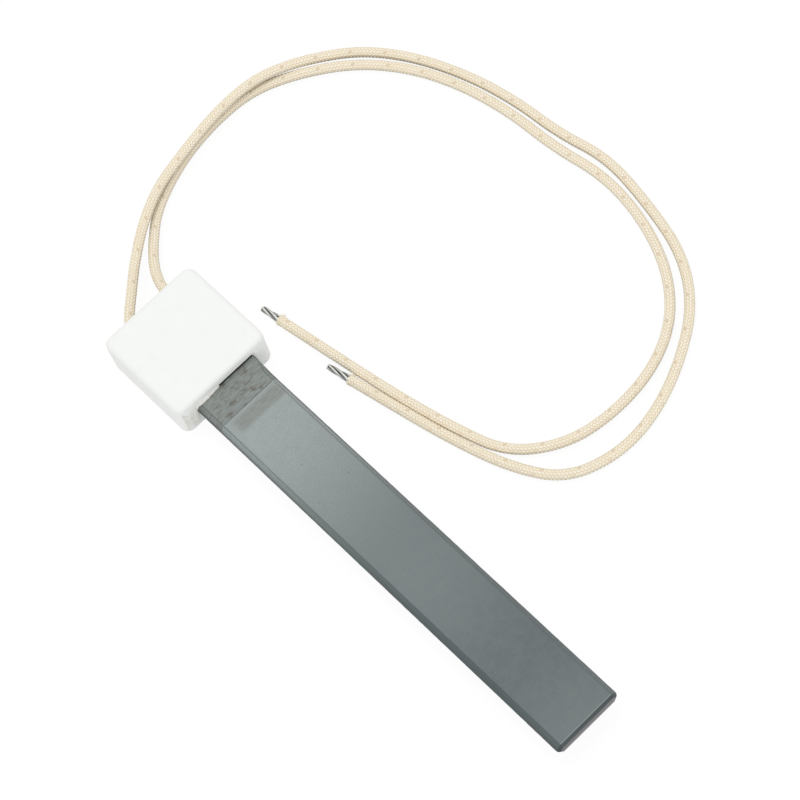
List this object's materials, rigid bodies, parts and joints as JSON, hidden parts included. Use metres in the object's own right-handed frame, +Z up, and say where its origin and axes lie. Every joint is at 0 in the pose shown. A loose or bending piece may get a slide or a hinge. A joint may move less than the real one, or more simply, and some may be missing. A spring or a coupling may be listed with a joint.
{
  "type": "hot surface igniter",
  "caption": "Flat ceramic heater blade cemented into a small white ceramic holder block, with braid-sleeved leads that end in bare tinned strands.",
  "frame": {"origin": "centre of the holder block's underside, the face that seats on a bracket", "axes": "+X along the heater blade towards its tip, +Y towards the blade's right-hand side, +Z up out of the block's broad upper face"},
  "size_m": [0.1648, 0.1098, 0.011],
  "materials": {
    "holder_ceramic": "unglazed fine-grained white ceramic, matt with a faint sheen",
    "potting_cement": "matt off-white high-temperature cement",
    "blade_nitride": "ground grey silicon nitride, satin, slightly mottled",
    "heater_metal": "printed conductive ceramic track, sealed in the blade",
    "pad_metal": "thin metallised layer, sealed in the cement",
    "nickel_strip": "rolled nickel strip, sealed in the cement",
    "crimp_metal": "plated crimp barrel, sealed in the cement",
    "plated_strand": "plated stranded wire, sealed in the cement",
    "sleeve_braid": "ivory braided glass-fibre sleeve with a few orange-brown tracer threads",
    "tinned_strand": "twisted strands, tinned, bright"
  },
  "bodies": {
    "root": {"holder_shell": "holder_ceramic", "potting_cement": "potting_cement", "heater_blade": "blade_nitride", "heater_track": "heater_metal", "contact_pad_left": "pad_metal", "nickel_tab_left": "nickel_strip", "crimp_sleeve_left": "crimp_metal", "conductor_left": "plated_strand", "lead_left": "sleeve_braid", "tinned_end_left": "tinned_strand", "contact_pad_right": "pad_metal", "nickel_tab_right": "nickel_strip", "crimp_sleeve_right": "crimp_metal", "conductor_right": "plated_strand", "lead_right": "sleeve_braid", "tinned_end_right": "tinned_strand"}
  },
  "joints": []
}
